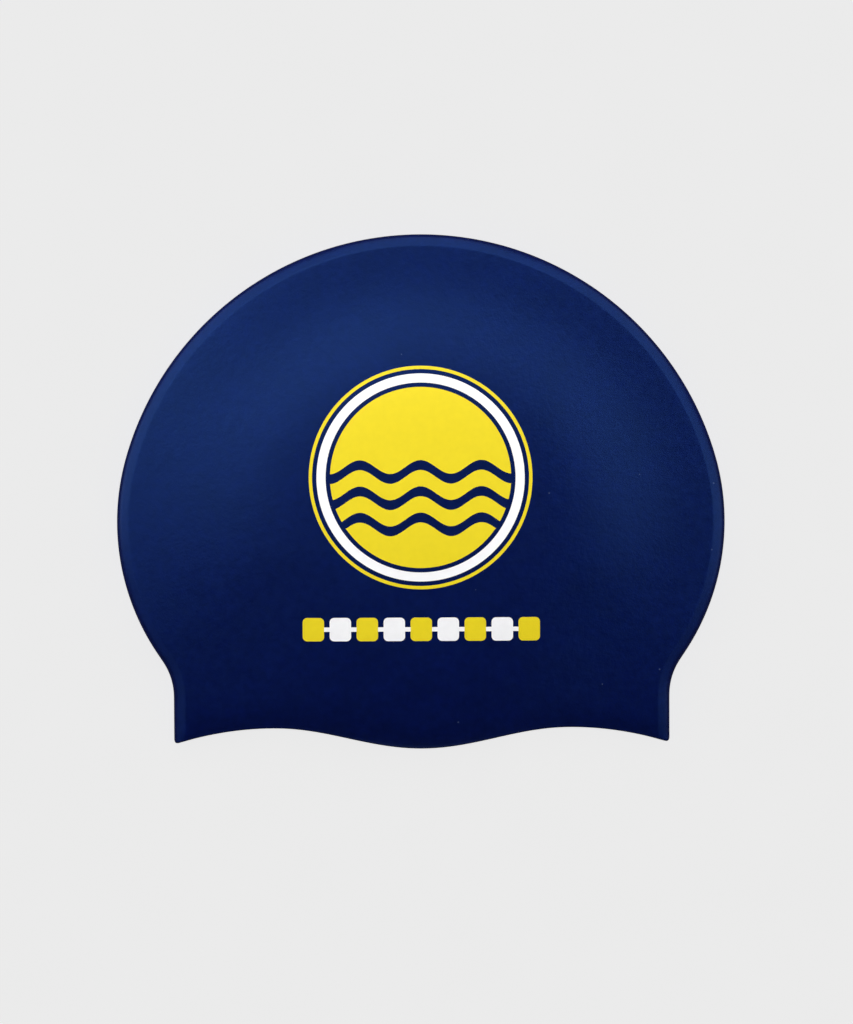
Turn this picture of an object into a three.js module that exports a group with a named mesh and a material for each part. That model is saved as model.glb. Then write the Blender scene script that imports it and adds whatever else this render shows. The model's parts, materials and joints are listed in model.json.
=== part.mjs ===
// A moulded silicone swim cap, lying flat on its back with its front panel up.
//
// Millimetres. X runs across the cap, Y from the hem to the crown, Z up from the surface that it lies on.
// The origin is on that surface, in the middle of the cap's width and length.
//
// The cap is one hollow moulding: two panels, joined by a rolled rim over the crown and down both tabs,
// and open along the hem. The right half is built and mirrored.

import * as THREE from 'three';
import { mergeVertices } from 'three/addons/utils/BufferGeometryUtils.js';

// Driving dimensions. Heights up the cap are measured from the lowest point of the hem.
const CAP_WIDTH = 222;
const WALL = 1.2;

const SIDE_RADIUS = 86.1;
const SIDE_CENTRE_HEIGHT = 83;
const CROWN_CENTRE_HEIGHT = 75.9;
const NECK_RADIUS = 23.1;
const TAB_SPAN = 181;
const TAB_CORNER_RADIUS = 1.2;

const HEM_WAVE_HEIGHT = 7.6;
const HEM_CREST_X = 53.5;
const HEM_FLANK_RADIUS = 118;
const HEM_LIP = 0.4;

const RIM_WIDTH = 4.75;
const RIM_THICKNESS = 10;
const TROUGH_DEPTH = 0.6;
const TROUGH_WIDTH = 12;
const PILLOW_RISE = 5;
const PILLOW_START = 6;
const PILLOW_END = 84;

// Towards the hem the whole bag gets thinner, and its pillow flattens out.
const HEM_THINNING = 0.15;
const HEM_THINNING_REACH = 45;
const HEM_FLATTENING = 0.55;
const HEM_FLATTENING_REACH = 70;

const SILICONE_NAVY = 0x0d1f57;

// The outline is four tangent pieces: a straight tab, a hollow neck, a round side and the crown.
const sideX = CAP_WIDTH / 2 - SIDE_RADIUS;
const crownRadius = SIDE_RADIUS + Math.hypot(sideX, SIDE_CENTRE_HEIGHT - CROWN_CENTRE_HEIGHT);
const capLength = CROWN_CENTRE_HEIGHT + crownRadius;
const tabX = TAB_SPAN / 2;
const neckX = tabX + NECK_RADIUS;
const neckDrop = Math.sqrt((SIDE_RADIUS + NECK_RADIUS) ** 2 - (neckX - sideX) ** 2);
const neckCentreHeight = SIDE_CENTRE_HEIGHT - neckDrop;
const neckTurn = Math.atan2(neckDrop, neckX - sideX);
const crownTurn = Math.atan2(SIDE_CENTRE_HEIGHT - CROWN_CENTRE_HEIGHT, sideX);

// How finely the surface is divided: columns along the outline, stations from the rim inwards.
const TAB_COLUMNS = 3;
const NECK_COLUMNS = 4;
const SIDE_COLUMNS = 9;
const CROWN_COLUMNS = 14;
const ROLL_STEPS = 4;
const TROUGH_INSETS = [7, 10];
const RUN_START = 14;
const RUN_REACHES = [0, 0.1, 0.21, 0.34, 0.48, 0.63, 0.77, 0.9, 1];
const RUN_LEAD = 0.4;
const SPINE_TOP_HEIGHT = 128;
const SPINE_CROWDING = 0.5;
const HEM_WAVE_COLUMNS = 9;
const MERGE_DISTANCE = 1e-4;

// A rise from 0 to 1 that is steepest a third of the way in and then eases off slowly.
function pillowRamp(value, start, end) {
	const part = THREE.MathUtils.clamp((value - start) / (end - start), 0, 1);
	return 1 - (1 - part) ** 3 * (1 + 3 * part);
}

// Height of the hem at x: a wave in the middle, round flanks beyond its crests and a rounded tab corner.
function hemHeight(x) {
	const beyondCrest = Math.max(x - HEM_CREST_X, 0);
	const wave = (HEM_WAVE_HEIGHT / 2) * (1 - Math.cos((Math.PI * Math.min(x, HEM_CREST_X)) / HEM_CREST_X));
	const corner = Math.max(x - (tabX - TAB_CORNER_RADIUS), 0);
	const cornerRise = TAB_CORNER_RADIUS - Math.sqrt(Math.max(TAB_CORNER_RADIUS ** 2 - corner ** 2, 0));
	return wave - beyondCrest ** 2 / (2 * HEM_FLANK_RADIUS) + cornerRise;
}

// Distance of a point inside the right half from the cap's outline, the hem apart.
function insetFromOutline(x, height) {
	const sideAngle = Math.atan2(height - SIDE_CENTRE_HEIGHT, x - sideX);
	const crownAngle = Math.atan2(height - CROWN_CENTRE_HEIGHT, x);
	const neckAngle = Math.atan2(height - neckCentreHeight, neckX - x);
	const insets = [];
	if (height <= neckCentreHeight) insets.push(tabX - x);
	if (neckAngle >= 0 && neckAngle <= neckTurn) {
		insets.push(Math.hypot(x - neckX, height - neckCentreHeight) - NECK_RADIUS);
	}
	if (sideAngle >= -neckTurn && sideAngle <= crownTurn) {
		insets.push(SIDE_RADIUS - Math.hypot(x - sideX, height - SIDE_CENTRE_HEIGHT));
	}
	if (crownAngle >= crownTurn) insets.push(crownRadius - Math.hypot(x, height - CROWN_CENTRE_HEIGHT));
	return Math.max(Math.min(...insets), 0);
}

// Half the rim's thickness, which is also the height of its outermost line above the surface below.
function rimHalf(x, height) {
	const awayFromHem = THREE.MathUtils.smoothstep(height - hemHeight(x), 0, HEM_THINNING_REACH);
	const thinning = HEM_THINNING * (1 - awayFromHem);
	return (RIM_THICKNESS / 2) * (1 - thinning);
}

// Quarter of an ellipse: 0 at its edge, its full height from its width inwards.
function quarterRound(inset, width, fullHeight) {
	const across = Math.max(width - inset, 0) / width;
	return fullHeight * Math.sqrt(Math.max(1 - across ** 2, 0));
}

// What the front panel adds to the rolled rim: a shallow trough inside it, then the pillow.
function panelRise(x, height, inset) {
	const intoTrough = THREE.MathUtils.clamp((inset - RIM_WIDTH) / TROUGH_WIDTH, 0, 1);
	const trough = TROUGH_DEPTH * Math.sin(Math.PI * Math.sqrt(intoTrough)) ** 2;
	const awayFromHem = THREE.MathUtils.smoothstep(height - hemHeight(x), 0, HEM_FLATTENING_REACH);
	const flattening = HEM_FLATTENING * (1 - awayFromHem);
	return PILLOW_RISE * (1 - flattening) * pillowRamp(inset, PILLOW_START, PILLOW_END) - trough;
}

// Height above the ground of the front and back panels. A skin of 0 is the outside, WALL the inside.
function panelHeights(x, height, skin) {
	const inset = insetFromOutline(x, height);
	const middle = rimHalf(x, height);
	const roll = quarterRound(inset - skin, RIM_WIDTH - skin, middle - skin);
	return { front: middle + roll + panelRise(x, height, inset), back: middle - roll };
}

// The outline of the right half from the tab's corner to the top of the crown, with inward normals.
function outlineColumns() {
	const cornerHeight = hemHeight(tabX);
	const tab = new THREE.LineCurve(
		new THREE.Vector2(tabX, cornerHeight),
		new THREE.Vector2(tabX, neckCentreHeight)
	);
	const neck = new THREE.EllipseCurve(
		neckX, neckCentreHeight, NECK_RADIUS, NECK_RADIUS, Math.PI, Math.PI - neckTurn, true
	);
	const side = new THREE.EllipseCurve(
		sideX, SIDE_CENTRE_HEIGHT, SIDE_RADIUS, SIDE_RADIUS, -neckTurn, crownTurn, false
	);
	const crown = new THREE.EllipseCurve(
		0, CROWN_CENTRE_HEIGHT, crownRadius, crownRadius, crownTurn, Math.PI / 2, false
	);
	const stretches = [
		{ curve: tab, columns: TAB_COLUMNS },
		{ curve: neck, columns: NECK_COLUMNS },
		{ curve: side, columns: SIDE_COLUMNS },
		{ curve: crown, columns: CROWN_COLUMNS },
	];
	const found = [];
	for (const { curve, columns } of stretches) {
		for (let step = 0; step < columns; step++) found.push(outlineColumn(curve, step / columns));
	}
	const top = { edge: new THREE.Vector2(0, capLength), inward: new THREE.Vector2(0, -1) };
	return [...found, top];
}

function outlineColumn(curve, at) {
	const edge = curve.getPoint(at);
	const along = curve.getTangent(at);
	return { edge, inward: new THREE.Vector2(-along.y, along.x) };
}

// Each column runs inwards along its normal and then bends to a point of the spine, on the Y axis.
function addRuns(columns) {
	const last = columns.length - 1;
	columns.forEach((column, index) => {
		const part = index / last;
		const spineHeight = SPINE_TOP_HEIGHT * part * (1 + SPINE_CROWDING * (1 - part));
		const spine = new THREE.Vector2(0, spineHeight);
		const start = column.edge.clone().addScaledVector(column.inward, RUN_START);
		const lead = start.clone().addScaledVector(column.inward, RUN_LEAD * start.distanceTo(spine));
		column.run = new THREE.QuadraticBezierCurve(start, lead, spine);
		column.hemShare = Math.max(1 - index / HEM_WAVE_COLUMNS, 0) ** 2;
	});
	return columns;
}

// Stations across one panel, from the rim's outermost line to the spine. The back panel has no trough.
function panelStations(troughInsets) {
	const stations = [];
	for (let step = 0; step <= ROLL_STEPS; step++) stations.push({ roll: (step / ROLL_STEPS) * (Math.PI / 2) });
	for (const inset of troughInsets) stations.push({ inset });
	for (const reach of RUN_REACHES) stations.push({ reach });
	return stations;
}

function planPoint(column, station, skin) {
	if (station.reach !== undefined) return column.run.getPoint(station.reach);
	const rollInset = skin + (RIM_WIDTH - skin) * (1 - Math.cos(station.roll));
	const inset = station.inset === undefined ? rollInset : station.inset;
	return column.edge.clone().addScaledVector(column.inward, inset);
}

// One surface point. The columns next to the hem take up a share of its wave.
function surfacePoint(columns, index, station, face, skin) {
	const column = columns[index];
	const plan = planPoint(column, station, skin);
	const hemPlan = planPoint(columns[0], station, skin);
	const hemShift = hemHeight(hemPlan.x) + HEM_LIP - hemPlan.y;
	const height = plan.y + hemShift * column.hemShare;
	const z = panelHeights(plan.x, height, skin)[face];
	return new THREE.Vector3(plan.x, height - capLength / 2, z);
}

// A skin's section along one column: in from the spine over the front, round the rim and along the back.
function skinSection(columns, index, skin) {
	const front = panelStations(TROUGH_INSETS);
	const back = panelStations([]).slice(1);
	return [
		...front.reverse().map((station) => surfacePoint(columns, index, station, 'front', skin)),
		...back.map((station) => surfacePoint(columns, index, station, 'back', skin)),
	];
}

// Two triangles and their mirror images. The diagonal starts at the corner farthest from the Y axis, so that
// no triangle lies in the mirror plane.
function addQuad(positions, a, b, c, d) {
	const mirrored = (point) => new THREE.Vector3(-point.x, point.y, point.z);
	const addTriangle = (first, second, third) => {
		const corners = [first, second, third, mirrored(first), mirrored(third), mirrored(second)];
		for (const corner of corners) positions.push(...corner.toArray());
	};
	if (Math.max(a.x, c.x) > Math.max(b.x, d.x)) {
		addTriangle(a, b, c);
		addTriangle(a, c, d);
	} else {
		addTriangle(a, b, d);
		addTriangle(b, c, d);
	}
}

// The surface between two sections with equally many points.
function addStrip(positions, near, far) {
	for (let step = 0; step + 1 < near.length; step++) {
		addQuad(positions, near[step], near[step + 1], far[step + 1], far[step]);
	}
}

// The crest of the hem's rounded edge, halfway through the wall.
function lipSection(outer, inner) {
	return outer.map((point, step) => {
		const crest = point.clone().lerp(inner[step], 0.5);
		crest.y -= HEM_LIP;
		return crest;
	});
}

function capShellGeometry() {
	const columns = addRuns(outlineColumns());
	const outer = columns.map((column, index) => skinSection(columns, index, 0));
	const inner = columns.map((column, index) => skinSection(columns, index, WALL));
	const lip = lipSection(outer[0], inner[0]);
	const positions = [];
	for (let index = 0; index + 1 < columns.length; index++) {
		addStrip(positions, outer[index], outer[index + 1]);
		addStrip(positions, inner[index + 1], inner[index]);
	}
	addStrip(positions, inner[0], lip);
	addStrip(positions, lip, outer[0]);
	const soup = new THREE.BufferGeometry();
	soup.setAttribute('position', new THREE.Float32BufferAttribute(positions, 3));
	const shell = mergeVertices(soup, MERGE_DISTANCE);
	shell.computeVertexNormals();
	return shell;
}

function makeCapShell() {
	const silicone = new THREE.MeshStandardMaterial({ color: SILICONE_NAVY, roughness: 0.5, metalness: 0 });
	const mesh = new THREE.Mesh(capShellGeometry(), silicone);
	mesh.name = 'cap_shell';
	return mesh;
}

const swimCap = new THREE.Group();
swimCap.add(makeCapShell());

export default swimCap;
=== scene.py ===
# A moulded silicone swim cap, lying flat with its front panel up and a printed badge on it.
# Metres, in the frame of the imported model: X across the cap, Y from the hem to the crown, Z up.

import json
import math

import bmesh
import bpy
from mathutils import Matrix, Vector, noise

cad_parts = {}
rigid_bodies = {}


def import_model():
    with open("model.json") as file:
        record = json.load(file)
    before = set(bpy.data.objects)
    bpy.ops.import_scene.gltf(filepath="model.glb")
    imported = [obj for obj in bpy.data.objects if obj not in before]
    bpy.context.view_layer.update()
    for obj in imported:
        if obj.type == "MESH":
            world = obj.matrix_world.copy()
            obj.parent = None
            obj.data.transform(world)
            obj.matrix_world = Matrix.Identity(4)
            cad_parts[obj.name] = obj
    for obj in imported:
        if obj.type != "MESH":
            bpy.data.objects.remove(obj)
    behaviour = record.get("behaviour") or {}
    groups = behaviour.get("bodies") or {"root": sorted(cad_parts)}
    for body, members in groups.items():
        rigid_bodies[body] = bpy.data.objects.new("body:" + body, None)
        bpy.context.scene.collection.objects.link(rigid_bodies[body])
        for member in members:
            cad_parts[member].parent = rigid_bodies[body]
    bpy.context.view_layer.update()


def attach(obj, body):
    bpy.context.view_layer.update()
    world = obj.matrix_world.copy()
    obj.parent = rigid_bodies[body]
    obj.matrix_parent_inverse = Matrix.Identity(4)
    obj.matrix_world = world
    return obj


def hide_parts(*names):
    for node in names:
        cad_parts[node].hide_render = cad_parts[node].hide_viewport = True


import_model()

bl_info = {
    "name": "Silicone swim cap",
    "version": (1, 0, 0),
    "blender": (4, 5, 0),
    "location": "View3D > Sidebar > Swim Cap",
    "description": "Makes a moulded swim cap that lies flat, its printed badge and a plain studio",
    "category": "Object",
}

MM = 0.001

# The outline is four tangent pieces: a straight tab, a hollow neck, a round side and the crown.
# Heights up the cap are measured from the lowest point of its hem.
SIDE_RADIUS = 86.1 * MM
SIDE_CENTRE_HEIGHT = 83 * MM
CROWN_CENTRE_HEIGHT = 75.9 * MM
NECK_RADIUS = 23.1 * MM
TAB_SPAN = 181 * MM
TAB_CORNER_RADIUS = 1.2 * MM

# The hem is a wave between two crests, with round flanks beyond them and a rounded lip.
HEM_WAVE_HEIGHT = 7.6 * MM
HEM_CREST_X = 53.5 * MM
HEM_FLANK_RADIUS = 118 * MM
HEM_LIP = 0.4 * MM

# Towards the hem the rim thins, the pillow flattens and the front panel droops, each within its reach.
HEM_THINNING = 0.2
HEM_THINNING_REACH = 45 * MM
HEM_FLATTENING = 0.65
HEM_FLATTENING_REACH = 70 * MM
HEM_DROOP = 1.5 * MM
HEM_DROOP_REACH = 14 * MM

# Across the rim: a raised line round its middle, a full-cornered roll, then the front's bevel and crease.
# The pillow rises from inside the crease to the middle of the panel.
PARTING_LINE = 0.12 * MM
ROLL_FULLNESS = 2.6
RIM_CORNER = 2.2 * MM
BEVEL_END = 4.4 * MM
CREASE_SOFTNESS = 0.45 * MM
PILLOW_START = 9 * MM
PILLOW_END = 80 * MM

# The front panel lies fuller on its left. There up to this share of its pillow rises at once, from the
# crease on.
LEFT_FULLNESS = 0.5
LEFT_START = 20 * MM
LEFT_END = 95 * MM

# Soft unevenness of the panels, which fades out at the rim.
UNEVEN_WAVELENGTH = 55 * MM
UNEVEN_START = 8 * MM
UNEVEN_END = 30 * MM

# How finely the shell is divided: columns along the outline, stations from the rim inwards. The stations
# stand at the roll's angles in degrees, then at the rim's insets, then along a run to the cap's spine.
TAB_COLUMNS = 9
TAB_CROWDING = 1.7
NECK_COLUMNS = 7
SIDE_COLUMNS = 18
CROWN_COLUMNS = 28
ROLL_ANGLES = [0, 3, 8, 16, 26, 38, 51, 63]
RIM_INSETS = [inset * MM for inset in (3.4, 3.9, 4.15, 4.35, 4.5, 4.7, 4.9, 5.4, 6.2, 7.1, 8.2, 9.6, 11.6)]
RUN_START = 14 * MM
RUN_STEPS = 18
RUN_LEAD = 0.4
SPINE_TOP_HEIGHT = 128 * MM
SPINE_CROWDING = 0.5
SPINE_EASE = 1.2
HEM_WAVE_COLUMNS = 18
SHELL_SUBDIVISION = 1
MERGE_DISTANCE = 0.002 * MM

# How finely the print is divided, how round its floats' corners are, as a share of their half height, and
# the angle in degrees from which an edge of the ink is crisp.
RING_STEPS = 240
WAVE_STEPS = 160
WAVE_ROWS = 10
FLOAT_STEPS = 24
FLOAT_ROWS = 6
FLOAT_ROUNDING = 0.38
INK_EDGE_ANGLE = 40

# Noises. Their scales are in cycles for each metre, and most of their values lie between these two.
NOISE_LOW = 0.3
NOISE_HIGH = 0.7

# The silicone: clouds and grain in its colour, lint on it, a satin gloss and fine bumps.
CLOUD_SCALE = 60.0
CLOUD_CONTRAST = 0.2
GRAIN_SCALE = 420.0
GRAIN_SHADE = 0.5
GRAIN_COVER = 0.5
LINT_SCALE = 150.0
LINT_RADIUS = 0.045
LINT_RARITY = 0.86
LINT_COVER = 0.27
LINT_COLOUR = (0.12, 0.17, 0.3, 1)
SATIN_SCALE = 300.0
SATIN_CONTRAST = 0.05
SILICONE_GLOSS = 0.7
SILICONE_IOR = 1.41
SILICONE_BUMPS = [
    {"scale": 260.0, "detail": 3.0, "strength": 0.6, "depth": 0.1 * MM},
    {"scale": 700.0, "detail": 3.0, "strength": 0.8, "depth": 0.06 * MM},
    {"scale": 1900.0, "detail": 2.0, "strength": 0.8, "depth": 0.04 * MM},
]

# The ink: a faint mottle, patches in its gloss and the silicone's grain under it.
INK_MOTTLE_SCALE = 350.0
INK_SHADE = 0.965
INK_PATCH_SCALE = 180.0
INK_PATCH_CONTRAST = 0.04
INK_ROUGHNESS = 0.5
INK_GLOSS = 0.3
INK_BUMPS = [{"scale": 1500.0, "detail": 2.0, "strength": 0.2, "depth": 0.03 * MM}]

# The studio: soft lights in half rings beyond the crown, two weak ones for the necks and one for the hem's
# mouth. Azimuth 0 is on the hem's side, 90 to the right, 180 beyond the crown. A ring's lean makes its
# lights brighter towards the left and dimmer towards the right.
CROWN_AZIMUTH = 180
SOFTBOX_DISTANCE = 0.47
SOFTBOX_SIZE = 0.25
SOFTBOX_RINGS = [
    {"name": "low", "elevation": 22, "azimuths": (90, 135, 180, 225, 260), "watts": 0.4, "lean": 0.2},
    {"name": "middle", "elevation": 50, "azimuths": (100, 140, 180, 220, 255), "watts": 0.41, "lean": 0.1},
    {"name": "high", "elevation": 70, "azimuths": (220,), "watts": 0.15, "lean": 0},
    {"name": "neck", "elevation": 38, "azimuths": (55, 300), "watts": 0.09, "lean": 0.1},
    {"name": "mouth", "elevation": 9, "azimuths": (0,), "watts": 0.12, "lean": 0},
]
FLOOR_HALF_SIZE = 4.0
FLOOR_SEGMENTS = 8
FLOOR_GAP = 0.05 * MM
FLOOR_TONE_SCALE = 30.0
FLOOR_SHADE = 0.995
FLOOR_ROUGHNESS = 0.9
BACKDROP_RADIUS = 3.9
BACKDROP_HEIGHT = 2.5
BACKDROP_SEGMENTS = 96

# The photograph's frame and where the cap lies in it, in pixels, and the cap's slight turn, in degrees.
PHOTO_WIDTH = 853
PHOTO_HEIGHT = 1024
CAP_WIDTH_PIXELS = 607.4
CAP_CENTRE_X = 420.8
CAP_CENTRE_Y = 491.4
CAP_TURN = 0.27

# The camera's sensor, in millimetres, as its lens is.
SENSOR_WIDTH = 36.0


def smooth_step(value, start, end):
    """0 up to start, 1 from end on, and a smooth rise between them."""
    part = min(max((value - start) / (end - start), 0), 1)
    return part * part * (3 - 2 * part)


def slow_rise(value, start, end):
    """A rise from 0 to 1 that starts gently, is steepest two fifths of the way in and eases off slowly."""
    part = min(max((value - start) / (end - start), 0), 1)
    return part ** 3 * (20 - 45 * part + 36 * part ** 2 - 10 * part ** 3)


def prompt_rise(value, start, end):
    """A rise from 0 to 1 that is steepest at its start and eases off slowly."""
    left = 1 - min(max((value - start) / (end - start), 0), 1)
    return 1 - left ** 3 * (2 - left)


def quarter_round(inset, width, full_height):
    """Quarter of a full-cornered oval: 0 at its edge, its full height from its width inwards."""
    across = min(max(width - inset, 0) / width, 1)
    return full_height * (1 - across ** ROLL_FULLNESS) ** (1 / ROLL_FULLNESS)


def even_rise(inset, end):
    """An even rise from 0 to 1 over the given width, rounded off in a soft crease where it ends."""
    over = min(max(inset - end + CREASE_SOFTNESS, 0), 2 * CREASE_SOFTNESS)
    straight = min(max(inset, 0), end + CREASE_SOFTNESS)
    return (straight - over ** 2 / (4 * CREASE_SOFTNESS)) / end


def arc_columns(centre_x, centre_height, radius, start, end, count, outside):
    """Points along an arc of the outline, each with the direction inwards."""
    found = []
    for step in range(count):
        angle = start + (end - start) * step / count
        spoke = Vector((math.cos(angle), math.sin(angle)))
        edge = Vector((centre_x, centre_height)) + spoke * radius
        found.append({"edge": edge, "inward": spoke if outside else -spoke})
    return found


class CapForm:
    """The cap's outline, hem and panel heights, worked out from its settings."""

    def __init__(self, shell):
        self.wall = shell.wall
        self.rim_width = shell.rim_width
        self.rim_half = shell.rim_thickness / 2
        self.rim_bevel = shell.rim_bevel
        self.pillow_rise = shell.pillow_rise
        self.unevenness = shell.unevenness
        self.side_x = shell.width / 2 - SIDE_RADIUS
        rise = SIDE_CENTRE_HEIGHT - CROWN_CENTRE_HEIGHT
        self.crown_radius = SIDE_RADIUS + math.hypot(self.side_x, rise)
        self.crown_turn = math.atan2(rise, self.side_x)
        self.length = CROWN_CENTRE_HEIGHT + self.crown_radius
        self.tab_x = TAB_SPAN / 2
        self.neck_x = self.tab_x + NECK_RADIUS
        across = self.neck_x - self.side_x
        drop = math.sqrt((SIDE_RADIUS + NECK_RADIUS) ** 2 - across ** 2)
        self.neck_height = SIDE_CENTRE_HEIGHT - drop
        self.neck_turn = math.atan2(drop, across)
        self.columns = self.make_columns()

    def hem_height(self, x):
        """Height of the hem at x: a wave, round flanks beyond its crests and a rounded tab corner."""
        x = abs(x)
        beyond_crest = max(x - HEM_CREST_X, 0)
        wave = HEM_WAVE_HEIGHT / 2 * (1 - math.cos(math.pi * min(x, HEM_CREST_X) / HEM_CREST_X))
        corner = max(x - (self.tab_x - TAB_CORNER_RADIUS), 0)
        corner_rise = TAB_CORNER_RADIUS - math.sqrt(max(TAB_CORNER_RADIUS ** 2 - corner ** 2, 0))
        return wave - beyond_crest ** 2 / (2 * HEM_FLANK_RADIUS) + corner_rise

    def inset(self, x, height):
        """Distance of a point inside the cap from its outline, the hem apart."""
        x = abs(x)
        side_angle = math.atan2(height - SIDE_CENTRE_HEIGHT, x - self.side_x)
        crown_angle = math.atan2(height - CROWN_CENTRE_HEIGHT, x)
        neck_angle = math.atan2(height - self.neck_height, self.neck_x - x)
        insets = []
        if height <= self.neck_height:
            insets.append(self.tab_x - x)
        if 0 <= neck_angle <= self.neck_turn:
            insets.append(math.hypot(x - self.neck_x, height - self.neck_height) - NECK_RADIUS)
        if -self.neck_turn <= side_angle <= self.crown_turn:
            insets.append(SIDE_RADIUS - math.hypot(x - self.side_x, height - SIDE_CENTRE_HEIGHT))
        if crown_angle >= self.crown_turn:
            insets.append(self.crown_radius - math.hypot(x, height - CROWN_CENTRE_HEIGHT))
        return max(min(insets), 0)

    def nearness(self, x, height, reach):
        """1 at the hem, falling evenly to 0 at the given reach above it."""
        return min(max(1 - (height - self.hem_height(x)) / reach, 0), 1)

    def middle(self, x, height):
        """Height above the ground of the rim's outermost line."""
        return self.rim_half * (1 - HEM_THINNING * self.nearness(x, height, HEM_THINNING_REACH) ** 2)

    def panel_rise(self, x, height, inset):
        """What the front panel adds inside the rim: its pillow, a soft unevenness and a drooping hem."""
        fullness = LEFT_FULLNESS * smooth_step(-x, LEFT_START, LEFT_END)
        rise = slow_rise(inset, PILLOW_START, PILLOW_END) * (1 - fullness)
        rise += prompt_rise(inset, BEVEL_END, PILLOW_END) * fullness
        flattening = HEM_FLATTENING * self.nearness(x, height, HEM_FLATTENING_REACH) ** 2
        pillow = self.pillow_rise * rise * (1 - flattening)
        droop = HEM_DROOP * self.nearness(x, height, HEM_DROOP_REACH) ** 3
        droop *= smooth_step(inset, 0, PILLOW_START)
        uneven = self.unevenness * noise.noise(Vector((x, height, 0)) / UNEVEN_WAVELENGTH)
        uneven *= smooth_step(inset, UNEVEN_START, UNEVEN_END)
        return pillow + uneven - droop

    def front(self, x, height, inset, skin=0):
        """Height above the ground of the front panel. A skin of 0 is its outside."""
        middle = self.middle(x, height)
        corner = quarter_round(inset - skin, RIM_CORNER - skin, middle - self.rim_bevel - skin)
        bevel = self.rim_bevel * even_rise(inset - skin, BEVEL_END - skin)
        return middle + corner + bevel + self.panel_rise(x, height, inset)

    def back(self, x, height, inset, skin=0):
        """Height above the ground of the back panel, which lies flat inside its rolled rim."""
        middle = self.middle(x, height)
        return middle - quarter_round(inset - skin, self.rim_width - skin, middle - skin)

    def make_columns(self):
        """Columns of the right half, from the tab's corner to the top of the crown."""
        low = self.hem_height(self.tab_x)
        columns = []
        for step in range(TAB_COLUMNS):
            height = low + (self.neck_height - low) * (step / TAB_COLUMNS) ** TAB_CROWDING
            columns.append({"edge": Vector((self.tab_x, height)), "inward": Vector((-1, 0))})
        columns += arc_columns(
            self.neck_x, self.neck_height, NECK_RADIUS,
            math.pi, math.pi - self.neck_turn, NECK_COLUMNS, True,
        )
        columns += arc_columns(
            self.side_x, SIDE_CENTRE_HEIGHT, SIDE_RADIUS,
            -self.neck_turn, self.crown_turn, SIDE_COLUMNS, False,
        )
        columns += arc_columns(
            0, CROWN_CENTRE_HEIGHT, self.crown_radius,
            self.crown_turn, math.pi / 2, CROWN_COLUMNS, False,
        )
        columns.append({"edge": Vector((0, self.length)), "inward": Vector((0, -1))})
        self.add_runs(columns)
        return columns

    def add_runs(self, columns):
        """Each column bends from its normal to a point of the spine. The last two share theirs."""
        last = len(columns) - 2
        for index, column in enumerate(columns):
            part = min(index / last, 1) ** SPINE_EASE
            spine_height = SPINE_TOP_HEIGHT * part * (1 + SPINE_CROWDING * (1 - part))
            column["spine"] = Vector((0, spine_height))
            column["start"] = column["edge"] + column["inward"] * RUN_START
            reach = (column["start"] - column["spine"]).length
            column["lead"] = column["start"] + column["inward"] * RUN_LEAD * reach
            column["hem_share"] = max(1 - index / HEM_WAVE_COLUMNS, 0) ** 2

    def rim_insets(self, skin):
        """Insets of the stations over the rolled rim and the flat ground inside it."""
        rolls = [(self.rim_width - skin) * (1 - math.cos(math.radians(a))) for a in ROLL_ANGLES]
        found = [skin + roll for roll in rolls] + RIM_INSETS
        if skin == 0:
            found[0] -= PARTING_LINE
        return found

    def plan_points(self, column, skin):
        """Plan points of one column from the rim to the spine."""
        points = [column["edge"] + column["inward"] * inset for inset in self.rim_insets(skin)]
        for step in range(RUN_STEPS + 1):
            t = step / RUN_STEPS
            points.append(
                column["start"] * (1 - t) ** 2 + column["lead"] * 2 * t * (1 - t) + column["spine"] * t * t
            )
        return points

    def section(self, index, side, skin):
        """Surface points of one column: in from the spine over the front, round the rim and back."""
        plan = self.plan_points(self.columns[index], skin)
        hem_plan = self.plan_points(self.columns[0], skin)
        share = self.columns[index]["hem_share"]
        least_insets = self.rim_insets(skin) + [0] * (RUN_STEPS + 1)
        front, back = [], []
        for point, hem_point, least in zip(plan, hem_plan, least_insets):
            shift = self.hem_height(hem_point.x) + HEM_LIP - hem_point.y
            x, height = side * point.x, point.y + shift * share
            # Moved with the hem, a station of the rim keeps at least the inset that it has by itself.
            inset = max(self.inset(x, height), least)
            front.append(self.place(x, height, self.front(x, height, inset, skin)))
            back.append(self.place(x, height, self.back(x, height, inset, skin)))
        return front[::-1] + back[1:]

    def place(self, x, height, z):
        """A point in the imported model's frame, whose origin is in the middle of the cap's length."""
        return Vector((x, height - self.length / 2, z))

    def front_point(self, x, y, lift):
        """A point above the front panel, from its place in the frame's own plan."""
        height = y + self.length / 2
        return Vector((x, y, self.front(x, height, self.inset(x, height)) + lift))


def add_strip(bm, near, far, side):
    """Faces between two sections with equally many vertices, turned outwards on either side."""
    for step in range(len(near) - 1):
        corners = [near[step], near[step + 1], far[step + 1], far[step]]
        bm.faces.new(corners if side > 0 else corners[::-1])


def lip_section(outer, inner):
    """The crest of the hem's rounded edge, halfway through the wall."""
    return [(a + b) / 2 - Vector((0, HEM_LIP, 0)) for a, b in zip(outer, inner)]


def finished_mesh(bm, name):
    """The mesh that was drawn up in bm, which is freed."""
    mesh = bpy.data.meshes.new(name)
    bm.to_mesh(mesh)
    bm.free()
    return mesh


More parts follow.
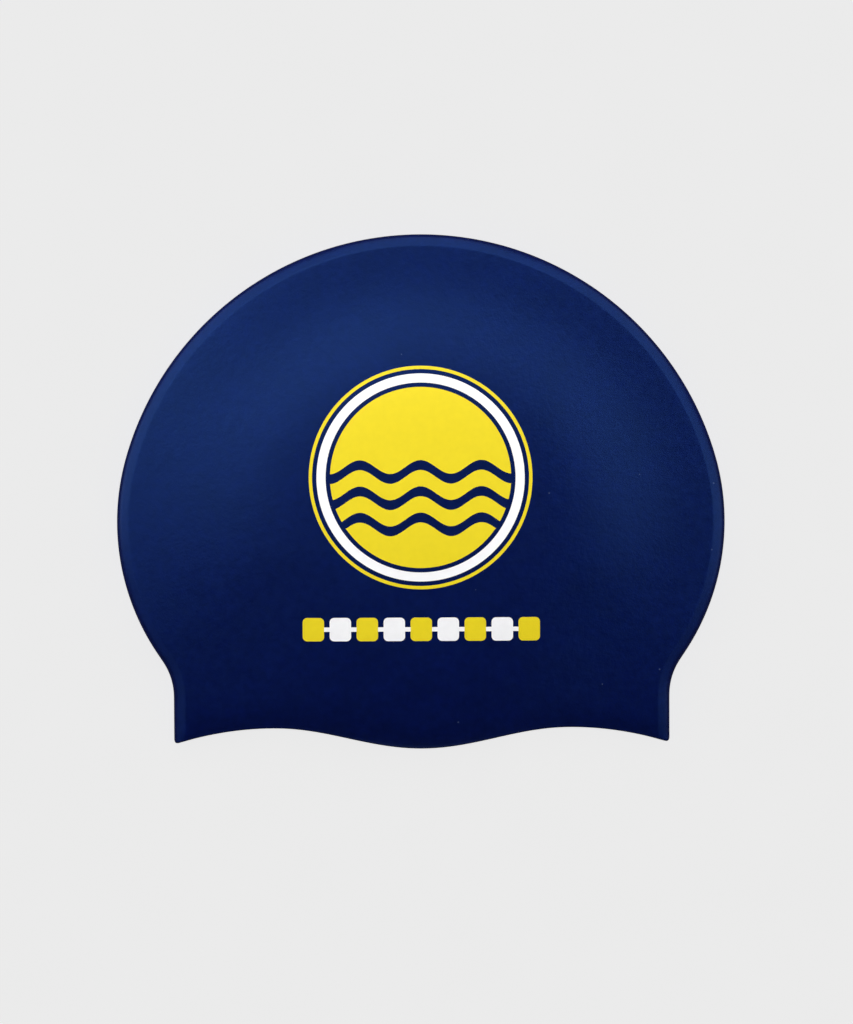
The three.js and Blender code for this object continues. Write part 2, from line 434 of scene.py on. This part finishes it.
def shell_mesh(form):
    """The whole shell, outside, inside and hem, as one closed mesh."""
    bm = bmesh.new()
    for side in (1, -1):
        count = len(form.columns)
        outer_points = [form.section(index, side, 0) for index in range(count)]
        inner_points = [form.section(index, side, form.wall) for index in range(count)]
        lip_points = lip_section(outer_points[0], inner_points[0])
        outer = [[bm.verts.new(p) for p in section] for section in outer_points]
        inner = [[bm.verts.new(p) for p in section] for section in inner_points]
        lip = [bm.verts.new(p) for p in lip_points]
        for index in range(count - 1):
            add_strip(bm, outer[index], outer[index + 1], side)
            add_strip(bm, inner[index + 1], inner[index], side)
        add_strip(bm, inner[0], lip, side)
        add_strip(bm, lip, outer[0], side)
    bmesh.ops.remove_doubles(bm, verts=bm.verts, dist=MERGE_DISTANCE)
    for face in bm.faces:
        face.smooth = True
    return finished_mesh(bm, "silicone_shell")


def link_object(name, data):
    """A new object in the scene."""
    made = bpy.data.objects.new(name, data)
    bpy.context.scene.collection.objects.link(made)
    return made


def add_node(tree, kind, **values):
    """A node with its settings, and its inputs where a name is an input's."""
    node = tree.nodes.new(kind)
    for name, value in values.items():
        if name in node.inputs:
            node.inputs[name].default_value = value
        else:
            setattr(node, name, value)
    return node


def new_material(name):
    """A material with nodes and its Principled shader."""
    material = bpy.data.materials.new(name)
    material.use_nodes = True
    return material, material.node_tree.nodes["Principled BSDF"]


def object_noise(tree, scale, detail=2.0, roughness=0.5):
    """Noise in the object's own space."""
    place = add_node(tree, "ShaderNodeTexCoord")
    made = add_node(tree, "ShaderNodeTexNoise", Scale=scale, Detail=detail, Roughness=roughness)
    tree.links.new(place.outputs["Object"], made.inputs["Vector"])
    return made.outputs["Fac"]


def spread(tree, value, low, high):
    """Maps the middle part of a noise to the range from low to high."""
    node = add_node(tree, "ShaderNodeMapRange")
    limits = {"From Min": NOISE_LOW, "From Max": NOISE_HIGH, "To Min": low, "To Max": high}
    for name, number in limits.items():
        node.inputs[name].default_value = number
    tree.links.new(value, node.inputs["Value"])
    return node.outputs["Result"]


def shaded(colour, share):
    """A colour with all its channels scaled, as four numbers."""
    return (*[channel * share for channel in colour], 1)


def mix_colours(tree, factor, first, second):
    """A blend of two colours, each a socket or four numbers."""
    node = add_node(tree, "ShaderNodeMix", data_type="RGBA")
    tree.links.new(factor, node.inputs["Factor"])
    sockets = [socket for socket in node.inputs if socket.type == "RGBA"]
    for socket, colour in zip(sockets, (first, second)):
        if isinstance(colour, bpy.types.NodeSocket):
            tree.links.new(colour, socket)
        else:
            socket.default_value = colour
    return next(socket for socket in node.outputs if socket.type == "RGBA")


def math_node(tree, operation, first, second):
    """The result of a math node. Its second value is a socket or a number."""
    node = add_node(tree, "ShaderNodeMath", operation=operation)
    tree.links.new(first, node.inputs[0])
    if isinstance(second, bpy.types.NodeSocket):
        tree.links.new(second, node.inputs[1])
    else:
        node.inputs[1].default_value = second
    return node.outputs[0]


def add_bumps(tree, shader, bumps):
    """Noisy bumps stacked on the shader's normal."""
    normal = None
    for row in bumps:
        bump = add_node(tree, "ShaderNodeBump", Strength=row["strength"], Distance=row["depth"])
        tree.links.new(object_noise(tree, row["scale"], row["detail"]), bump.inputs["Height"])
        if normal:
            tree.links.new(normal, bump.inputs["Normal"])
        normal = bump.outputs["Normal"]
    tree.links.new(normal, shader.inputs["Normal"])


def lint_specks(tree):
    """A faint mask of sparse specks, each in the middle of a cell that a draw has chosen."""
    place = add_node(tree, "ShaderNodeTexCoord")
    cells = add_node(tree, "ShaderNodeTexVoronoi", Scale=LINT_SCALE, Randomness=1.0)
    tree.links.new(place.outputs["Object"], cells.inputs["Vector"])
    near = math_node(tree, "LESS_THAN", cells.outputs["Distance"], LINT_RADIUS)
    draw = add_node(tree, "ShaderNodeSeparateColor")
    tree.links.new(cells.outputs["Color"], draw.inputs["Color"])
    chosen = math_node(tree, "GREATER_THAN", draw.outputs["Red"], LINT_RARITY)
    specks = math_node(tree, "MULTIPLY", near, chosen)
    return math_node(tree, "MULTIPLY", specks, LINT_COVER)


def silicone_material(shell):
    """Satin silicone: faint clouds and a fine grain in the colour, a little lint and fine bumps."""
    material, shader = new_material("navy_silicone")
    tree = material.node_tree
    clouds = spread(tree, object_noise(tree, CLOUD_SCALE, detail=6.0, roughness=0.7), 0.0, 1.0)
    darker, lighter = shaded(shell.colour, 1 - CLOUD_CONTRAST), shaded(shell.colour, 1 + CLOUD_CONTRAST)
    cloudy = mix_colours(tree, clouds, darker, lighter)
    grain = spread(tree, object_noise(tree, GRAIN_SCALE, detail=5.0), 0.0, GRAIN_COVER)
    grainy = mix_colours(tree, grain, cloudy, shaded(shell.colour, GRAIN_SHADE))
    linty = mix_colours(tree, lint_specks(tree), grainy, LINT_COLOUR)
    tree.links.new(linty, shader.inputs["Base Color"])
    satin = object_noise(tree, SATIN_SCALE, detail=4.0, roughness=0.6)
    patches = spread(tree, satin, shell.roughness - SATIN_CONTRAST, shell.roughness + SATIN_CONTRAST)
    tree.links.new(patches, shader.inputs["Roughness"])
    shader.inputs["Specular IOR Level"].default_value = SILICONE_GLOSS
    shader.inputs["Specular Tint"].default_value = (*shell.gloss_tint, 1)
    shader.inputs["IOR"].default_value = SILICONE_IOR
    add_bumps(tree, shader, SILICONE_BUMPS)
    return material


def ink_material(name, colour):
    """Screen-printed ink: an even coat with a faint mottle and the silicone's grain under it."""
    material, shader = new_material(name)
    tree = material.node_tree
    mottle = spread(tree, object_noise(tree, INK_MOTTLE_SCALE, detail=4.0), 0.0, 1.0)
    coated = mix_colours(tree, mottle, shaded(colour, INK_SHADE), shaded(colour, 1.0))
    tree.links.new(coated, shader.inputs["Base Color"])
    shiniest, dullest = INK_ROUGHNESS - INK_PATCH_CONTRAST, INK_ROUGHNESS + INK_PATCH_CONTRAST
    patches = spread(tree, object_noise(tree, INK_PATCH_SCALE, detail=3.0), shiniest, dullest)
    tree.links.new(patches, shader.inputs["Roughness"])
    shader.inputs["Specular IOR Level"].default_value = INK_GLOSS
    add_bumps(tree, shader, INK_BUMPS)
    return material


def ink_mesh(name, form, patches, coat):
    """Grids of plan points laid on the front panel, as thin closed coats of ink with crisp edges."""
    bm = bmesh.new()
    for rows in patches:
        grid = [[bm.verts.new(form.front_point(x, y, -coat)) for x, y in row] for row in rows]
        for near, far in zip(grid, grid[1:]):
            for step in range(len(near) - 1):
                bm.faces.new((near[step], near[step + 1], far[step + 1], far[step]))
    bmesh.ops.remove_doubles(bm, verts=bm.verts, dist=MERGE_DISTANCE)
    bmesh.ops.dissolve_degenerate(bm, edges=bm.edges, dist=MERGE_DISTANCE)
    raised = bmesh.ops.extrude_face_region(bm, geom=bm.faces[:])["geom"]
    top = [item for item in raised if isinstance(item, bmesh.types.BMVert)]
    bmesh.ops.translate(bm, verts=top, vec=(0, 0, 2 * coat))
    bmesh.ops.recalc_face_normals(bm, faces=bm.faces[:])
    for face in bm.faces:
        face.smooth = True
    mesh = finished_mesh(bm, name)
    mesh.set_sharp_from_angle(angle=math.radians(INK_EDGE_ANGLE))
    return mesh


def ring_patch(centre, inner, outer):
    """Rows of plan points round a flat ring."""
    turns = [2 * math.pi * step / RING_STEPS for step in range(RING_STEPS + 1)]
    rows = []
    for radius in (inner, (inner + outer) / 2, outer):
        rows.append([(centre.x + radius * math.cos(t), centre.y + radius * math.sin(t)) for t in turns])
    return rows


def band_patch(centre, half_width, lower, upper, columns, rows):
    """Columns of plan points between two curves, crowded towards both ends."""
    found = []
    for step in range(columns + 1):
        x = -half_width * math.cos(math.pi * step / columns)
        low, high = lower(x), upper(x)
        if high - low < MERGE_DISTANCE:
            low = high = (low + high) / 2
        heights = [low + (high - low) * row / rows for row in range(rows + 1)]
        found.append([(centre.x + x, centre.y + height) for height in heights])
    return found


def wave_disc_patches(centre, radius, emblem):
    """A disc that bare wavy bands divide into one piece more than there are bands."""

    def edge(x):
        return math.sqrt(max(radius ** 2 - x ** 2, 0))

    def wave(x, number):
        middle = emblem.wave_top - number * emblem.wave_pitch
        return middle + emblem.wave_depth / 2 * math.cos(2 * math.pi * x / emblem.wave_length)

    half_band = emblem.wave_thickness / 2
    patches = []
    for number in range(emblem.wave_count + 1):
        def upper(x, number=number):
            return edge(x) if number == 0 else min(wave(x, number - 1) - half_band, edge(x))

        def lower(x, number=number):
            bare = -edge(x) if number == emblem.wave_count else wave(x, number) + half_band
            return min(max(bare, -edge(x)), edge(x))

        patches.append(band_patch(centre, radius, lower, upper, WAVE_STEPS, WAVE_ROWS))
    return patches


def float_patch(centre, half_length, half_height):
    """One rounded float of the lane line."""
    corner = FLOAT_ROUNDING * half_height

    def edge(x):
        into = max(abs(x) - (half_length - corner), 0)
        return half_height - corner + math.sqrt(max(corner ** 2 - into ** 2, 0))

    return band_patch(centre, half_length, lambda x: -edge(x), edge, FLOAT_STEPS, FLOAT_ROWS)


def print_piece(name, form, emblem, patches, material):
    """One printed piece: thin, closed and riding on the cap."""
    piece = link_object(name, ink_mesh(name, form, patches, emblem.ink_thickness))
    piece.data.materials.append(material)
    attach(piece, "root")


def lane_patches(emblem, colour_turn):
    """Every other float of the lane line, by whose turn it is."""
    pitch = emblem.lane_length / emblem.float_count
    patches = []
    for number in range(emblem.float_count):
        if number % 2 == colour_turn:
            x = (number - (emblem.float_count - 1) / 2) * pitch
            centre = Vector((x, emblem.lane_height))
            patches.append(float_patch(centre, pitch / 2 - emblem.float_gap / 2, emblem.float_size / 2))
    return patches


def rope_patches(emblem):
    """The short bits of rope between the floats."""
    pitch = emblem.lane_length / emblem.float_count
    half = emblem.rope_width / 2
    half_gap = emblem.float_gap / 2
    patches = []
    for number in range(emblem.float_count - 1):
        x = (number - (emblem.float_count - 2) / 2) * pitch
        centre = Vector((x, emblem.lane_height))
        bit = band_patch(centre, half_gap, lambda x: -half, lambda x: half, columns=2, rows=1)
        patches.append(bit)
    return patches


def softbox(ring, azimuth, brightness, lit):
    """A square soft light that looks at the cap and lights only what it is given."""
    turn, rise = math.radians(azimuth), math.radians(ring["elevation"])
    flat = math.cos(rise)
    away = Vector((math.sin(turn) * flat, -math.cos(turn) * flat, math.sin(rise)))
    name = f"{ring['name']}_{azimuth}"
    leftness = (azimuth - CROWN_AZIMUTH) / 90
    data = bpy.data.lights.new(name, "AREA")
    data.size = SOFTBOX_SIZE
    data.energy = ring["watts"] * (1 + ring["lean"] * leftness) * brightness
    light = link_object(name, data)
    light.location = away * SOFTBOX_DISTANCE
    light.rotation_euler = away.to_track_quat("Z", "Y").to_euler()
    light.visible_camera = False
    light.light_linking.receiver_collection = lit


def lit_pieces():
    """A collection of everything but the floor and the backdrop, for the softboxes to light."""
    lit = bpy.data.collections.new("lit_by_softboxes")
    for piece in bpy.context.scene.objects:
        if piece.type == "MESH" and piece.name not in ("floor", "backdrop"):
            lit.objects.link(piece)
    return lit


def room_world(stage):
    """A dim even room. Gloss shows it in the floor's place too, because the floor is hidden from gloss."""
    world = bpy.data.worlds.new("dim_room")
    bpy.context.scene.world = world
    world.use_nodes = True
    background = world.node_tree.nodes["Background"]
    background.inputs["Color"].default_value = (1, 1, 1, 1)
    background.inputs["Strength"].default_value = stage.room_light


def make_floor(stage):
    """A pale, softly glowing floor just under the cap, with only a faint shadow where the cap meets it."""
    bm = bmesh.new()
    bmesh.ops.create_grid(bm, x_segments=FLOOR_SEGMENTS, y_segments=FLOOR_SEGMENTS, size=FLOOR_HALF_SIZE)
    floor = link_object("floor", finished_mesh(bm, "floor"))
    floor.location.z = -FLOOR_GAP
    floor.visible_glossy = False
    material, shader = new_material("pale_floor")
    tree = material.node_tree
    tone = spread(tree, object_noise(tree, FLOOR_TONE_SCALE), 0.0, 1.0)
    duller, full = shaded(stage.floor_colour, FLOOR_SHADE), shaded(stage.floor_colour, 1.0)
    colour = mix_colours(tree, tone, duller, full)
    tree.links.new(colour, shader.inputs["Base Color"])
    tree.links.new(colour, shader.inputs["Emission Color"])
    shader.inputs["Emission Strength"].default_value = 1 - stage.room_light
    shader.inputs["Roughness"].default_value = FLOOR_ROUGHNESS
    shader.inputs["Specular IOR Level"].default_value = 0.0
    floor.data.materials.append(material)


def make_backdrop(stage):
    """A round wall in the floor's own tone, far off. It lights nothing and shows in low views alone."""
    bm = bmesh.new()
    bmesh.ops.create_circle(bm, segments=BACKDROP_SEGMENTS, radius=BACKDROP_RADIUS)
    raised = bmesh.ops.extrude_edge_only(bm, edges=bm.edges[:])["geom"]
    upper = [item for item in raised if isinstance(item, bmesh.types.BMVert)]
    bmesh.ops.translate(bm, verts=upper, vec=(0, 0, BACKDROP_HEIGHT))
    wall = link_object("backdrop", finished_mesh(bm, "backdrop"))
    wall.visible_diffuse = False
    wall.visible_glossy = False
    wall.visible_shadow = False
    material, shader = new_material("pale_backdrop")
    shader.inputs["Base Color"].default_value = (0, 0, 0, 1)
    shader.inputs["Specular IOR Level"].default_value = 0.0
    shader.inputs["Emission Color"].default_value = (*stage.floor_colour, 1)
    shader.inputs["Emission Strength"].default_value = 1.0
    wall.data.materials.append(material)


def make_camera(shell, stage):
    """A camera straight above, framed as the photograph is."""
    pixel = shell.width / CAP_WIDTH_PIXELS
    data = bpy.data.cameras.new("camera")
    data.sensor_width = SENSOR_WIDTH
    data.lens = stage.lens
    distance = PHOTO_HEIGHT * pixel * data.lens / data.sensor_width
    camera = link_object("camera", data)
    camera.location = (
        (PHOTO_WIDTH / 2 - CAP_CENTRE_X) * pixel,
        (CAP_CENTRE_Y - PHOTO_HEIGHT / 2) * pixel,
        shell.rim_thickness / 2 + distance,
    )
    camera.rotation_euler.z = -math.radians(CAP_TURN)
    bpy.context.scene.camera = camera


class ShellSettings(bpy.types.PropertyGroup):
    """Sizes and finish of the silicone shell."""

    width: bpy.props.FloatProperty(
        name="Width", description="Greatest width of the cap", default=222 * MM, unit="LENGTH"
    )
    wall: bpy.props.FloatProperty(
        name="Wall", description="Thickness of the silicone", default=1.2 * MM, unit="LENGTH"
    )
    rim_width: bpy.props.FloatProperty(
        name="Rim width", description="Width of the rolled rim from the front",
        default=4.75 * MM, unit="LENGTH",
    )
    rim_thickness: bpy.props.FloatProperty(
        name="Rim thickness", description="Thickness of the flat cap at its rim",
        default=10 * MM, unit="LENGTH",
    )
    rim_bevel: bpy.props.FloatProperty(
        name="Rim bevel", description="Rise of the even bevel across the front of the rim",
        default=1.5 * MM, unit="LENGTH",
    )
    pillow_rise: bpy.props.FloatProperty(
        name="Pillow", description="Height of the front panel's pillow above the rim",
        default=5 * MM, unit="LENGTH",
    )
    unevenness: bpy.props.FloatProperty(
        name="Unevenness", description="Height of the soft unevenness of the front panel",
        default=0.25 * MM, unit="LENGTH",
    )
    colour: bpy.props.FloatVectorProperty(
        name="Colour", description="Colour of the silicone", default=(0.001, 0.0035, 0.051),
        subtype="COLOR",
    )
    gloss_tint: bpy.props.FloatVectorProperty(
        name="Gloss tint", description="Tint of the light that the silicone reflects",
        default=(0.11, 0.32, 1.0), subtype="COLOR",
    )
    roughness: bpy.props.FloatProperty(
        name="Roughness", description="Roughness of the silicone's satin surface", default=0.36
    )


class EmblemSettings(bpy.types.PropertyGroup):
    """Sizes and colours of the printed badge and lane line."""

    centre_y: bpy.props.FloatProperty(
        name="Badge height", description="Height of the badge's middle above the cap's middle",
        default=5 * MM, unit="LENGTH",
    )
    radius: bpy.props.FloatProperty(
        name="Badge radius", description="Radius of the badge's outer line", default=40.5 * MM,
        unit="LENGTH",
    )
    line_width: bpy.props.FloatProperty(
        name="Outer line", description="Width of the thin outer line", default=1.2 * MM, unit="LENGTH"
    )
    ring_width: bpy.props.FloatProperty(
        name="Ring", description="Width of the white ring", default=3.3 * MM, unit="LENGTH"
    )
    ring_gap: bpy.props.FloatProperty(
        name="Gap", description="Bare gap on either side of the white ring", default=1.6 * MM,
        unit="LENGTH",
    )
    wave_count: bpy.props.IntProperty(
        name="Waves", description="Number of bare wavy bands across the badge", default=3
    )
    wave_top: bpy.props.FloatProperty(
        name="First wave", description="Height of the first band above the badge's middle",
        default=2 * MM, unit="LENGTH",
    )
    wave_pitch: bpy.props.FloatProperty(
        name="Wave pitch", description="Distance from one band to the next", default=9.5 * MM,
        unit="LENGTH",
    )
    wave_thickness: bpy.props.FloatProperty(
        name="Wave thickness", description="Thickness of each band", default=3.6 * MM, unit="LENGTH"
    )
    wave_length: bpy.props.FloatProperty(
        name="Wave length", description="Distance between two crests", default=22 * MM, unit="LENGTH"
    )
    wave_depth: bpy.props.FloatProperty(
        name="Wave depth", description="Height from trough to crest", default=5 * MM, unit="LENGTH"
    )
    lane_height: bpy.props.FloatProperty(
        name="Lane line height", description="Height of the lane line above the cap's middle",
        default=-50 * MM, unit="LENGTH",
    )
    lane_length: bpy.props.FloatProperty(
        name="Lane line length", description="Length of the row of floats", default=88 * MM,
        unit="LENGTH",
    )
    float_count: bpy.props.IntProperty(name="Floats", description="Number of floats", default=9)
    float_size: bpy.props.FloatProperty(
        name="Float size", description="Height of a float", default=8.5 * MM, unit="LENGTH"
    )
    float_gap: bpy.props.FloatProperty(
        name="Float gap", description="Gap between two floats", default=2 * MM, unit="LENGTH"
    )
    rope_width: bpy.props.FloatProperty(
        name="Rope width", description="Width of the rope between the floats", default=1.6 * MM,
        unit="LENGTH",
    )
    ink_thickness: bpy.props.FloatProperty(
        name="Ink", description="Thickness of the ink above the silicone", default=0.05 * MM,
        unit="LENGTH",
    )
    yellow: bpy.props.FloatVectorProperty(
        name="Yellow", description="Colour of the yellow ink", default=(0.78, 0.62, 0.007),
        subtype="COLOR",
    )
    white: bpy.props.FloatVectorProperty(
        name="White", description="Colour of the white ink", default=(0.905, 0.905, 0.92),
        subtype="COLOR",
    )


class StageSettings(bpy.types.PropertyGroup):
    """Floor, light and camera."""

    lens: bpy.props.FloatProperty(
        name="Lens", description="Focal length in millimetres", default=100.0
    )
    floor_colour: bpy.props.FloatVectorProperty(
        name="Floor", description="Colour of the floor", default=(0.832, 0.832, 0.832), subtype="COLOR"
    )
    room_light: bpy.props.FloatProperty(
        name="Room light", description="Brightness of the dim even room", default=0.06
    )
    brightness: bpy.props.FloatProperty(
        name="Softboxes", description="Brightness of all the soft lights together", default=1.0
    )


class SWIMCAP_OT_make_shell(bpy.types.Operator):
    """Makes the moulded shell in place of its plain solid"""

    bl_idname = "swim_cap.make_shell"
    bl_label = "Make Shell"

    def execute(self, context):
        settings = context.scene.swim_cap_shell
        shell = link_object("silicone_shell", shell_mesh(CapForm(settings)))
        shell.data.materials.append(silicone_material(settings))
        fine = shell.modifiers.new("fine_surface", "SUBSURF")
        fine.levels = SHELL_SUBDIVISION
        fine.render_levels = SHELL_SUBDIVISION
        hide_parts("cap_shell")
        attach(shell, "root")
        return {"FINISHED"}


class SWIMCAP_OT_print_badge(bpy.types.Operator):
    """Prints the round badge with its wavy bands"""

    bl_idname = "swim_cap.print_badge"
    bl_label = "Print Badge"

    def execute(self, context):
        emblem = context.scene.swim_cap_emblem
        form = CapForm(context.scene.swim_cap_shell)
        centre = Vector((0, emblem.centre_y))
        yellow = ink_material("yellow_ink", emblem.yellow)
        white = ink_material("white_ink", emblem.white)
        line = ring_patch(centre, emblem.radius - emblem.line_width, emblem.radius)
        print_piece("badge_line", form, emblem, [line], yellow)
        ring_outer = emblem.radius - emblem.line_width - emblem.ring_gap
        ring_inner = ring_outer - emblem.ring_width
        ring = ring_patch(centre, ring_inner, ring_outer)
        print_piece("badge_ring", form, emblem, [ring], white)
        waves = wave_disc_patches(centre, ring_inner - emblem.ring_gap, emblem)
        print_piece("badge_waves", form, emblem, waves, yellow)
        return {"FINISHED"}


class SWIMCAP_OT_print_lane_line(bpy.types.Operator):
    """Prints the lane line's floats and rope under the badge"""

    bl_idname = "swim_cap.print_lane_line"
    bl_label = "Print Lane Line"

    def execute(self, context):
        emblem = context.scene.swim_cap_emblem
        form = CapForm(context.scene.swim_cap_shell)
        yellow = bpy.data.materials["yellow_ink"]
        white = bpy.data.materials["white_ink"]
        print_piece("lane_floats_yellow", form, emblem, lane_patches(emblem, 0), yellow)
        print_piece("lane_floats_white", form, emblem, lane_patches(emblem, 1), white)
        print_piece("lane_rope", form, emblem, rope_patches(emblem), white)
        return {"FINISHED"}


class SWIMCAP_OT_set_stage(bpy.types.Operator):
    """Sets the floor, the soft light and the camera"""

    bl_idname = "swim_cap.set_stage"
    bl_label = "Set Stage"

    def execute(self, context):
        stage = context.scene.swim_cap_stage
        context.scene.view_settings.view_transform = "Standard"
        make_floor(stage)
        make_backdrop(stage)
        room_world(stage)
        lit = lit_pieces()
        for ring in SOFTBOX_RINGS:
            for azimuth in ring["azimuths"]:
                softbox(ring, azimuth, stage.brightness, lit)
        make_camera(context.scene.swim_cap_shell, stage)
        return {"FINISHED"}


class SWIMCAP_PT_panel(bpy.types.Panel):
    """Sidebar panel with the settings and the steps"""

    bl_idname = "SWIMCAP_PT_panel"
    bl_label = "Swim Cap"
    bl_space_type = "VIEW_3D"
    bl_region_type = "UI"
    bl_category = "Swim Cap"

    def draw(self, context):
        for operator in OPERATORS:
            self.layout.operator(operator.bl_idname)
        for name in SETTINGS:
            settings = getattr(context.scene, name)
            box = self.layout.box()
            for key in settings.bl_rna.properties.keys():
                if key not in ("rna_type", "name"):
                    box.prop(settings, key)


OPERATORS = (
    SWIMCAP_OT_make_shell,
    SWIMCAP_OT_print_badge,
    SWIMCAP_OT_print_lane_line,
    SWIMCAP_OT_set_stage,
)
SETTINGS = {
    "swim_cap_shell": ShellSettings,
    "swim_cap_emblem": EmblemSettings,
    "swim_cap_stage": StageSettings,
}


def register():
    for settings in SETTINGS.values():
        bpy.utils.register_class(settings)
    for name, settings in SETTINGS.items():
        setattr(bpy.types.Scene, name, bpy.props.PointerProperty(type=settings))
    for operator in OPERATORS:
        bpy.utils.register_class(operator)
    bpy.utils.register_class(SWIMCAP_PT_panel)


def unregister():
    bpy.utils.unregister_class(SWIMCAP_PT_panel)
    for operator in reversed(OPERATORS):
        bpy.utils.unregister_class(operator)
    for name, settings in SETTINGS.items():
        delattr(bpy.types.Scene, name)
        bpy.utils.unregister_class(settings)


def main():
    """Registers the add-on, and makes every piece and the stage."""
    register()
    bpy.ops.swim_cap.make_shell()
    bpy.ops.swim_cap.print_badge()
    bpy.ops.swim_cap.print_lane_line()
    bpy.ops.swim_cap.set_stage()


if __name__ == "__main__":
    main()
